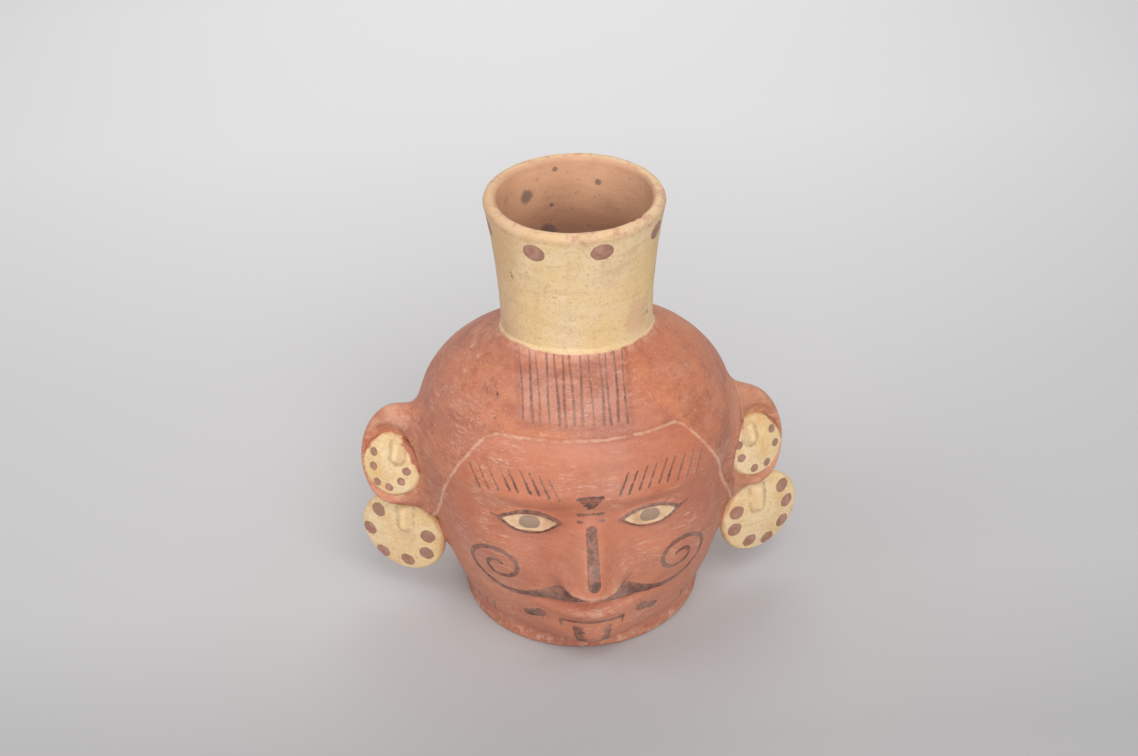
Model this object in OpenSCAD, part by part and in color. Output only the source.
// Head-shaped pottery jar: a head moulded in two halves on a round foot, with a
// flaring neck, applied ears and two hanging discs at each ear. The face looks
// along -Y. Sizes are in millimetres, and the origin is the middle of the foot.

/* [Head] */
// Width across the temples
head_w = 139; // [132:1:146]
// Distance from the axis to the forehead
head_front = 68; // [62:1:74]
// Distance from the axis to the back of the head
head_back = 63; // [58:1:72]
// Height at which the head is widest
widest_z = 88; // [82:1:94]
// Height of the crown over the face, as if the dome were closed
crown_z = 144.5; // [138:0.5:152]
// How much lower the dome lies at the back than over the face
crown_drop = 12; // [6:1:20]
// Thickness of the moulded wall
wall = 6; // [4.5:0.5:7.5]

/* [Foot] */
// Radius of the foot
foot_r = 52.5; // [46:0.5:54]
// Thickness of the floor
floor_t = 6; // [5:0.5:8]
// Rounding of the foot's lower edge
foot_round = 2; // [1:0.25:3]

/* [Neck] */
// Height of the rim above the foot
rim_z = 194.5; // [185:0.5:210]
// Radius of the neck at its root
neck_r = 31.5; // [29:0.5:35]
// Radius of the neck at the rim
rim_r = 37; // [35:0.5:43]
// Thickness of the neck's wall
neck_wall = 5.25; // [4:0.25:7]
// Width of the roll of clay round the neck's root
root_roll = 3; // [2:0.25:5]

/* [Headcloth] */
// How far the headcloth stands proud of the face
cloth_t = 1.6; // [0.8:0.1:2.4]
// Height of the cloth's edge over the forehead
cloth_brow_z = 115.5; // [110:0.5:122]
// Height of the cloth's edge round the nape
cloth_nape_z = 34; // [24:1:50]

/* [Face] */
// Height of the chin
chin_z = 19; // [17:1:23]
// Height of the line between the lips
mouth_z = 38; // [36:1:42]
// Height of the nose's tip
nose_z = 55; // [53:1:59]
// Height of the eyes
eye_z = 80; // [78:1:86]
// Distance from the middle of the face to each eye
eye_x = 25; // [22:1:28]
// How far the nose stands out
nose_out = 17; // [12:1:20]

/* [Ears and discs] */
// Height of the ear's middle
ear_z = 76.5; // [73:0.5:82]
// Height of the ear
ear_h = 45; // [38:1:48]
// Width of the ear
ear_w = 32; // [28:1:36]
// Thickness of the ear from front to back
ear_t = 16; // [13:1:19]
// Distance of the ear's middle from the side of the head
ear_out = 5; // [2:0.5:6]
// Distance of the ear's middle forward of the axis
ear_forward = 5; // [0:1:10]
// Angle by which the ears and discs are turned outwards
turn_out = 28; // [20:1:36]
// Angle by which the ears and upper discs lean back
lean_back = 15; // [8:1:20]
// Radius of the upper disc
upper_r = 14; // [11:0.5:14.5]
// Distance of the upper disc's middle below the ear's middle
upper_below = 4; // [2:0.5:6]
// Radius of the lower disc
lower_r = 20; // [17:0.5:22]
// How far the lower disc is tucked up behind the ear's lower edge
lower_tuck = 2.5; // [1.5:0.25:4]
// How far the lower disc stands out beyond the upper one
lower_out = 1.5; // [-1:0.5:3]
// How far the lower disc lies behind the front of the ear
lower_back = 5; // [3:0.5:7]
// Thickness of the discs at their edge
disc_t = 5; // [4:0.5:7]
// How far the discs are crowned
disc_crown = 1.6; // [0.8:0.2:2.4]
// How deep the upper disc is let into the ear
disc_seat = 5.5; // [4:0.5:6.5]
// Width of the raised tongue on each disc
tongue_w = 6.5; // [5:0.25:8]
// Length of the raised tongues
tongue_l = 14; // [11:0.5:16]
// Distance of the tongues from the disc's middle, towards the head
tongue_in = 4.5; // [3:0.25:5]
// Distance of the tongues from the disc's top
tongue_down = 3.5; // [3:0.25:5]

/* [Joins inside] */
// Width of the coil pressed along each inside join
coil_w = 7; // [5:0.5:9]
// How far the coils up the seams stand out from the wall
coil_t = 3; // [2:0.25:4]

/* [Hidden] */

red_slip = "#b5654a";
cream_slip = "#d9bd84";
bare_clay = "#b98360";

// Columns and rows of the moulded surface. Its inside has half as many.
face_columns = 72;
back_columns = 32;
low_rows = 28;
dome_rows = 22;

// Shape of the head's plan and of its lower flare at the sides, front and back
roundness = 2.2;
side_fullness = 0.85;
front_fullness = 0.6;
back_fullness = 0.9;
// Share of the face's relief that the inside of the wall follows
inside_fill = 0.5;
// Width over which the headcloth's edge rises
cloth_edge_w = 8;
// Rounding of the discs' edges
disc_round = 1.6;

neck_bore_r = neck_r - neck_wall;
lip_r = neck_wall / 2;
ear_x = head_w / 2 + ear_out;
lower_z = ear_z - ear_h / 2 - lower_r + lower_tuck;

// Half the head's size at a height under its widest place.
function low_half(z, most, fullness, inset) =
    foot_r - inset + (most - foot_r)
        * pow(max(0, sin(90 * (z - floor_t) / (widest_z - floor_t))), fullness);

// Distance from the axis to the plain head, under its widest place and at it.
// Angle 0 is the front, and 90 the right. The foot is round, and the oval above
// it a little squarer.
function low_r(angle, z, inset) =
    let (side = low_half(z, head_w / 2, side_fullness, inset),
         far = cos(angle) > 0 ? low_half(z, head_front, front_fullness, inset)
                              : low_half(z, head_back, back_fullness, inset),
         power = 2 + (roundness - 2) * ease((z - floor_t) / 40))
    pow(pow(abs(sin(angle)) / side, power) + pow(abs(cos(angle)) / far, power), -1 / power);
function wide_r(angle, inset) = low_r(angle, widest_z, inset);

// The dome over the widest place is an arc from there to the neck, at each angle.
function dome_rise(angle, inset) =
    crown_z - widest_z - inset - crown_drop * (1 - cos(angle)) / 2;
function dome_end(angle, inset) = acos(neck_r / wide_r(angle, inset));
function seat_z(angle, inset) =
    widest_z + dome_rise(angle, inset) * sin(dome_end(angle, inset));

// Smooth rise from 0 to 1, and a round bump about a place on the face.
function ease(t) = let (s = max(0, min(1, t))) s * s * (3 - 2 * s);
function bump(x, z, mid_x, mid_z, half_x, half_z) =
    exp(-pow((x - mid_x) / half_x, 2) - pow((z - mid_z) / half_z, 2));
function both(x, z, mid_x, mid_z, half_x, half_z) =
    bump(abs(x), z, mid_x, mid_z, half_x, half_z);

// Height of the headcloth's edge round the head, and where the cloth lies.
ear_low_z = ear_z - ear_h / 2;
function turned(angle) = angle > 180 ? 360 - angle : abs(angle);
function cloth_edge(angle) =
    let (a = turned(angle))
    a < 76
    ? cloth_brow_z + (ear_low_z - cloth_brow_z) * ease((a - 34) / 42)
    : ear_low_z + (cloth_nape_z - ear_low_z) * ease((a - 82) / 20);
function edge_slope(angle) = (cloth_edge(angle + 2) - cloth_edge(angle - 2)) / 4.9;
function bare(angle, z) =
    1 - ease((z - cloth_edge(angle)) / cloth_edge_w / sqrt(1 + pow(edge_slope(angle), 2)) + 0.5);

// The nose: a ridge that grows from between the eyes to its tip, and two wings.
function nose(x, z) =
    let (rise = ease((eye_z + 7 - z) / (eye_z + 4 - nose_z)),
         under = ease((z - nose_z + 8) / 7),
         half = 6.2 + 2.6 * rise)
    nose_out * rise * under * exp(-pow(abs(x) / half, 2.4))
    + 6.5 * both(x, z, 9.5, nose_z - 1.5, 4.6, 5);

// The mound under the lips, the two lips and the line between them.
function mouth(x, z) =
    4 * bump(x, z, 0, mouth_z, 27, 17)
    + 3.2 * bump(x, z, 0, mouth_z + 4, 16, 3.4)
    + 3.8 * bump(x, z, 0, mouth_z - 4.4, 14, 4)
    - 2.2 * bump(x, z, 0, mouth_z, 19, 1.6);

// The brows, the sockets, and in each an eyeball between two lids.
function eyes(x, z) =
    2.4 * both(x, z, eye_x, eye_z + 12, 21, 5.5)
    - 4 * both(x, z, eye_x - 2, eye_z, 18, 10)
    + 4.2 * both(x, z, eye_x, eye_z, 13, 6.5);

// How far the face stands out from the plain head, chin and cheeks included.
// It dies away at the foot, which is round.
function relief(x, z) =
    ease((z - floor_t) / 9)
    * (nose(x, z) + mouth(x, z) + eyes(x, z)
        + 9 * bump(x, z, 0, chin_z, 18, 11)
        + 2.6 * both(x, z, 36, (nose_z + mouth_z) / 2 + 12, 16, 15));

// A point of the head. The face stands out forwards, the way it left its mould,
// and is set back from the headcloth except near the foot.
function head_point(angle, r, z, inset) =
    let (outside = inset > 0 ? 0 : 1,
         kept = r - outside * cloth_t * bare(angle, z) * ease((z - floor_t) / 10),
         share = outside > 0 ? 1 : inside_fill,
         x = kept * sin(angle))
    [x, -kept * cos(angle) - share * ease(3 * cos(angle)) * relief(x, z), z];

// A row of points, counted up from the foot: evenly spaced to the widest place,
// then by angle over the dome to the neck.
function head_row(i, low, dome, angles, inset) =
    [for (angle = angles)
        i <= low
        ? let (z = floor_t + (widest_z - floor_t) * i / low)
          head_point(angle, low_r(angle, z, inset), z, inset)
        : let (up = dome_end(angle, inset) * (i - low) / dome)
          head_point(angle, wide_r(angle, inset) * cos(up),
              widest_z + dome_rise(angle, inset) * sin(up), inset)];
function head_grid(low, dome, angles, inset) =
    [for (i = [0:low + dome]) each head_row(i, low, dome, angles, inset)];
function spread(from, to, columns) =
    [for (k = [0:columns]) from + (to - from) * k / columns];

// Two triangles of a cell: a and b are below, c and d above. The cut runs the
// other way on the other side of the middle, so left and right match.
function cell(a, b, c, d, other_way) =
    other_way ? [[a, c, d], [a, d, b]] : [[a, c, b], [b, c, d]];
function reversed(faces) = [for (f = faces) [f[0], f[2], f[1]]];

// Triangles of a grid whose first point is at first.
function grid_faces(first, rows, columns) =
    [for (i = [0:rows - 1], k = [0:columns - 1])
        let (a = first + i * (columns + 1) + k, c = a + columns + 1)
        each cell(a, a + 1, c, c + 1, 2 * k < columns)];

// A strip between an outer edge and an inner edge with half as many steps.
function strip_faces(outer, inner, flip) =
    [for (k = [0:len(inner) - 2])
        let (a = outer[2 * k], m = outer[2 * k + 1], b = outer[2 * k + 2],
             p = inner[k], q = inner[k + 1])
        each flip ? [[a, p, m], [m, p, q], [m, q, b]] : [[a, m, p], [m, q, p], [m, b, q]]];

// Half of the moulded wall, between two angles, with the neck's round hole.
module moulded_half(from, to, columns) {
    rows = low_rows + dome_rows;
    half_rows = rows / 2;
    half_columns = columns / 2;
    outer = head_grid(low_rows, dome_rows, spread(from, to, columns), 0);
    inner = head_grid(low_rows / 2, dome_rows / 2, spread(from, to, half_columns), wall);
    start = len(outer);
    polyhedron(
        points = concat(outer, inner),
        faces = concat(
            grid_faces(0, rows, columns),
            reversed(grid_faces(start, half_rows, half_columns)),
            strip_faces([for (k = [0:columns]) k],
                [for (k = [0:half_columns]) start + k], false),
            strip_faces([for (k = [0:columns]) rows * (columns + 1) + k],
                [for (k = [0:half_columns]) start + half_rows * (half_columns + 1) + k], true),
            strip_faces([for (i = [0:rows]) i * (columns + 1)],
                [for (i = [0:half_rows]) start + i * (half_columns + 1)], true),
            strip_faces([for (i = [0:rows]) i * (columns + 1) + columns],
                [for (i = [0:half_rows]) start + i * (half_columns + 1) + half_columns],
                false)),
        convexity = 6);
}

// The head's outside as a closed solid, with the facets that the halves have.
module outside() {
    face = face_columns;
    back = back_columns;
    angles = concat(spread(-90, 90, face), [for (k = [1:back - 1]) 90 + 180 * k / back]);
    count = face + back;
    rows = low_rows + dome_rows;
    points = head_grid(low_rows, dome_rows, angles, 0);
    last = rows * count;
    polyhedron(
        points = concat(points, [[0, 0, floor_t], [0, 0, seat_z(0, 0)]]),
        faces = concat(
            [for (i = [0:rows - 1], k = [0:count - 1])
                let (a = i * count + k, b = i * count + (k + 1) % count)
                each cell(a, b, a + count, b + count,
                    k < face ? 2 * k < face : 2 * (k - face) < back)],
            [for (k = [0:count - 1]) [k, (k + 1) % count, len(points)]],
            [for (k = [0:count - 1]) [last + (k + 1) % count, last + k, len(points) + 1]]),
        convexity = 6);
}

// Cuts against the moulded surface are made on its mesh, at their own size.
module on_mesh() {
    resize([0, 0, 0]) children();
}

module face_half() {
    color(red_slip) moulded_half(-90, 90, face_columns);
}

module back_half() {
    color(red_slip) moulded_half(90, 270, back_columns);
}

// The floor that both halves stand on.
module floor_disc() {
    edge = [for (a = [0:15:90])
        [foot_r - foot_round + foot_round * sin(a), foot_round - foot_round * cos(a)]];
    color(bare_clay)
        rotate_extrude($fn = 96)
            polygon(concat([[0, 0]], edge, [[foot_r, floor_t], [0, floor_t]]));
}

// The neck stands in the head's round hole and flares to a rounded lip. Its foot
// slopes with the dome, so it ends flush with the inside at the front and back.
flare_z = seat_z(0, 0) + root_roll;
foot_front_z = seat_z(0, wall);
foot_back_z = seat_z(180, wall);
foot_slope = atan((foot_front_z - foot_back_z) / (2 * neck_r));
function neck_out_r(z) =
    neck_r + (rim_r - neck_r) * pow(max(0, (z - flare_z) / (rim_z - flare_z)), 1.9);
module neck_collar() {
    lip_z = rim_z - lip_r;
    steps = 14;
    heights = [for (i = [0:steps]) flare_z + (lip_z - flare_z) * i / steps];
    lip_mid = neck_out_r(lip_z) - lip_r;
    outer = [for (z = heights) [neck_out_r(z), z]];
    lip = [for (a = [15:15:165]) [lip_mid + lip_r * cos(a), lip_z + lip_r * sin(a)]];
    inner = [for (i = [steps:-1:0]) [neck_out_r(heights[i]) - neck_wall, heights[i]]];
    color(cream_slip)
        difference() {
            rotate_extrude($fn = 96)
                polygon(concat([[neck_bore_r, foot_back_z - 2], [neck_r, foot_back_z - 2]],
                    outer, lip, inner));
            translate([0, 0, (foot_front_z + foot_back_z) / 2])
                rotate([-foot_slope, 0, 0])
                    translate([-60, -60, -60])
                        cube([120, 120, 60]);
        }
}

// A solid through a row of cross-sections that have the same number of points.
// A ring joins its last section to its first. Otherwise the two ends are closed.
module swept(sections, ring = false) {
    count = len(sections[0]);
    rows = len(sections);
    polyhedron(
        points = [for (section = sections) each section],
        faces = concat(
            [for (i = [0:rows - (ring ? 1 : 2)], k = [0:count - 1])
                let (a = i * count + k, b = i * count + (k + 1) % count,
                     c = (i + 1) % rows * count + k,
                     d = (i + 1) % rows * count + (k + 1) % count)
                each [[a, b, c], [b, d, c]]],
            ring ? [] : [for (k = [1:count - 2]) [0, k + 1, k]],
            ring ? [] : [for (k = [1:count - 2])
                let (last = (rows - 1) * count) [last, last + k, last + k + 1]]),
        convexity = 6);
}

// A hollow fillet of clay in the corner between neck and dome.
module neck_root_roll() {
    columns = 60;
    profile = concat([for (t = [0, 0.33, 0.67]) root_roll * [t, 0]],
        [for (a = [0:22.5:90]) root_roll * [1 - sin(a), 1 - cos(a)]]);
    color(cream_slip)
        swept([for (k = [0:columns - 1])
            let (angle = 360 * k / columns, wide = wide_r(angle, 0))
            [for (p = profile)
                let (r = neck_r + p[0],
                     dome_z = widest_z + dome_rise(angle, 0) * sin(acos(r / wide)))
                [r * sin(angle), -r * cos(angle), dome_z + p[1]]]], ring = true);
}

// Beside the head at a height, turned outwards and facing forwards. The ear and
// its disc also lean back, about the ear's middle.
module beside_head(height) {
    translate([ear_x, -ear_forward, height])
        rotate([0, 0, turn_out])
            children();
}
module at_ear() {
    beside_head(ear_z)
        rotate([-lean_back, 0, 0])
            children();
}

// A disc with rounded edges and a crowned front that faces -Y.
module disc(r) {
    edge = [for (a = [0:22.5:90])
        [r - disc_round * (1 - cos(a)), disc_t - disc_round * (1 - sin(a))]];
    crown = [for (s = [0.75, 0.5, 0.25])
        [s * (r - disc_round), disc_t + disc_crown * (1 - s * s)]];
    rotate([90, 0, 0])
        rotate_extrude($fn = 48)
            polygon(concat([[0, 0], [r, 0]], edge, crown,
                [[0, disc_t + disc_crown]]));
}
module upper_disc() {
    at_ear()
        translate([0, disc_seat - ear_t / 2, -upper_below])
            disc(upper_r);
}
module lower_disc() {
    beside_head(lower_z)
        translate([lower_out, lower_back - ear_t / 2, 0])
            disc(lower_r);
}

// A rounded pad of clay, drawn in towards the head where it was smoothed on. Its
// lower corner fills the gap between the head and the lower disc.
module ear_pad() {
    rim = 4;
    at_ear()
        hull() {
            translate([0, rim - ear_t / 2, 0])
                rotate([90, 0, 0])
                    scale([ear_w / ear_h, 1, 1])
                        rotate_extrude($fn = 40)
                            translate([ear_h / 2 - rim, 0])
                                circle(r = rim, $fn = 16);
            translate([-2, ear_t / 2 - 6, 0])
                scale([ear_w / ear_h, 0.5, 1])
                    sphere(r = ear_h / 2 - 5, $fn = 24);
            translate([-ear_w / 2 - 3, 1, 4])
                scale([1, 0.6, 1])
                    sphere(r = ear_h / 2 - 7, $fn = 20);
            translate([-ear_w / 4 - 5, 1, 9.5 - ear_h / 2])
                scale([1.4, 0.6, 1])
                    sphere(r = 10, $fn = 16);
        }
}

// The open pocket that the upper disc is pressed into.
module ear_pocket() {
    at_ear()
        translate([0, disc_seat - ear_t / 2, -upper_below])
            rotate([90, 0, 0])
                cylinder(h = disc_seat + ear_t, r = upper_r, $fn = 48);
}

module ear() {
    color(red_slip)
        on_mesh() difference() {
            ear_pad();
            outside();
            ear_pocket();
        }
}

module pressed_disc() {
    color(cream_slip)
        on_mesh() difference() {
            upper_disc();
            outside();
        }
}

module hanging_disc() {
    color(cream_slip)
        on_mesh() difference() {
            lower_disc();
            outside();
            ear_pad();
        }
}

// A sausage of clay pressed upright on a disc, on the side next to the head.
module tongue(r) {
    end = tongue_w / 2;
    half = tongue_l / 2 - end;
    translate([-tongue_in, -disc_t - 0.6, r - tongue_l / 2 - tongue_down])
        rotate_extrude($fn = 32)
            polygon(concat(
                [for (a = [-90:15:0]) [end * cos(a), end * sin(a) - half]],
                [for (a = [0:15:90]) [end * cos(a), end * sin(a) + half]]));
}
module upper_tongue() {
    color(cream_slip)
        difference() {
            at_ear()
                translate([0, disc_seat - ear_t / 2, -upper_below])
                    tongue(upper_r);
            upper_disc();
        }
}
module lower_tongue() {
    color(cream_slip)
        difference() {
            beside_head(lower_z)
                translate([lower_out, lower_back - ear_t / 2, 0])
                    tongue(lower_r);
            lower_disc();
        }
}

module right_ear() { ear(); }
module left_ear() { mirror([1, 0, 0]) ear(); }
module right_upper_disc() { pressed_disc(); }
module left_upper_disc() { mirror([1, 0, 0]) pressed_disc(); }
module right_lower_disc() { hanging_disc(); }
module left_lower_disc() { mirror([1, 0, 0]) hanging_disc(); }
module right_upper_tongue() { upper_tongue(); }
module left_upper_tongue() { mirror([1, 0, 0]) upper_tongue(); }
module right_lower_tongue() { lower_tongue(); }
module left_lower_tongue() { mirror([1, 0, 0]) lower_tongue(); }

// A point of the inside of the wall, on its mesh, which has a row at each whole i.
function inside_row(i, angle) = head_row(i, low_rows / 2, dome_rows / 2, [angle], wall)[0];
function on_inside(i, angle) =
    let (row = floor(i), low = inside_row(row, angle))
    low + (inside_row(row + 1, angle) - low) * (i - row);

// The coil in the corner between floor and wall.
module floor_coil() {
    size = coil_w / 2;
    angles = concat(spread(-90, 90, face_columns / 2),
        [for (k = [1:back_columns / 2 - 1]) 90 + 360 * k / back_columns]);
    up = size * low_rows / 2 / (widest_z - floor_t);
    color(bare_clay)
        swept([for (angle = angles)
            let (corner = on_inside(0, angle), top = on_inside(up, angle),
                 middle = [-sin(angle), cos(angle), 0])
            [corner, top, for (a = [67.5:-22.5:0])
                corner + size * (cos(a) * middle + [0, 0, sin(a)])]], ring = true);
}

// The coil up the inside of the join between the two halves, at the right ear.
// It lies on the wall's flat facets on both sides of the join.
module seam_coil() {
    start = coil_w / 2 * low_rows / 2 / (widest_z - floor_t);
    rows = concat([start], [for (i = [1:(low_rows + dome_rows) / 2 - 2]) i]);
    color(bare_clay)
        swept([for (i = rows)
            let (seam = on_inside(i, 90),
                 forward = on_inside(i, 90 - 360 / face_columns) - seam,
                 backward = on_inside(i, 90 + 360 / back_columns) - seam,
                 up = on_inside(i + 0.1, 90) - seam,
                 inward = [-up[2], 0, up[0]] / norm(up))
            [seam, seam + forward / norm(forward) * coil_w / 2,
                for (a = [30:30:150])
                    seam + coil_t * sin(a) * inward + [0, -cos(a) * coil_w / 2, 0],
                seam + backward / norm(backward) * coil_w / 2]]);
}
module right_seam_coil() { seam_coil(); }
module left_seam_coil() { mirror([1, 0, 0]) seam_coil(); }

face_half();
back_half();
floor_disc();
neck_collar();
neck_root_roll();
right_ear();
left_ear();
right_upper_disc();
left_upper_disc();
right_lower_disc();
left_lower_disc();
right_upper_tongue();
left_upper_tongue();
right_lower_tongue();
left_lower_tongue();
right_seam_coil();
left_seam_coil();
floor_coil();
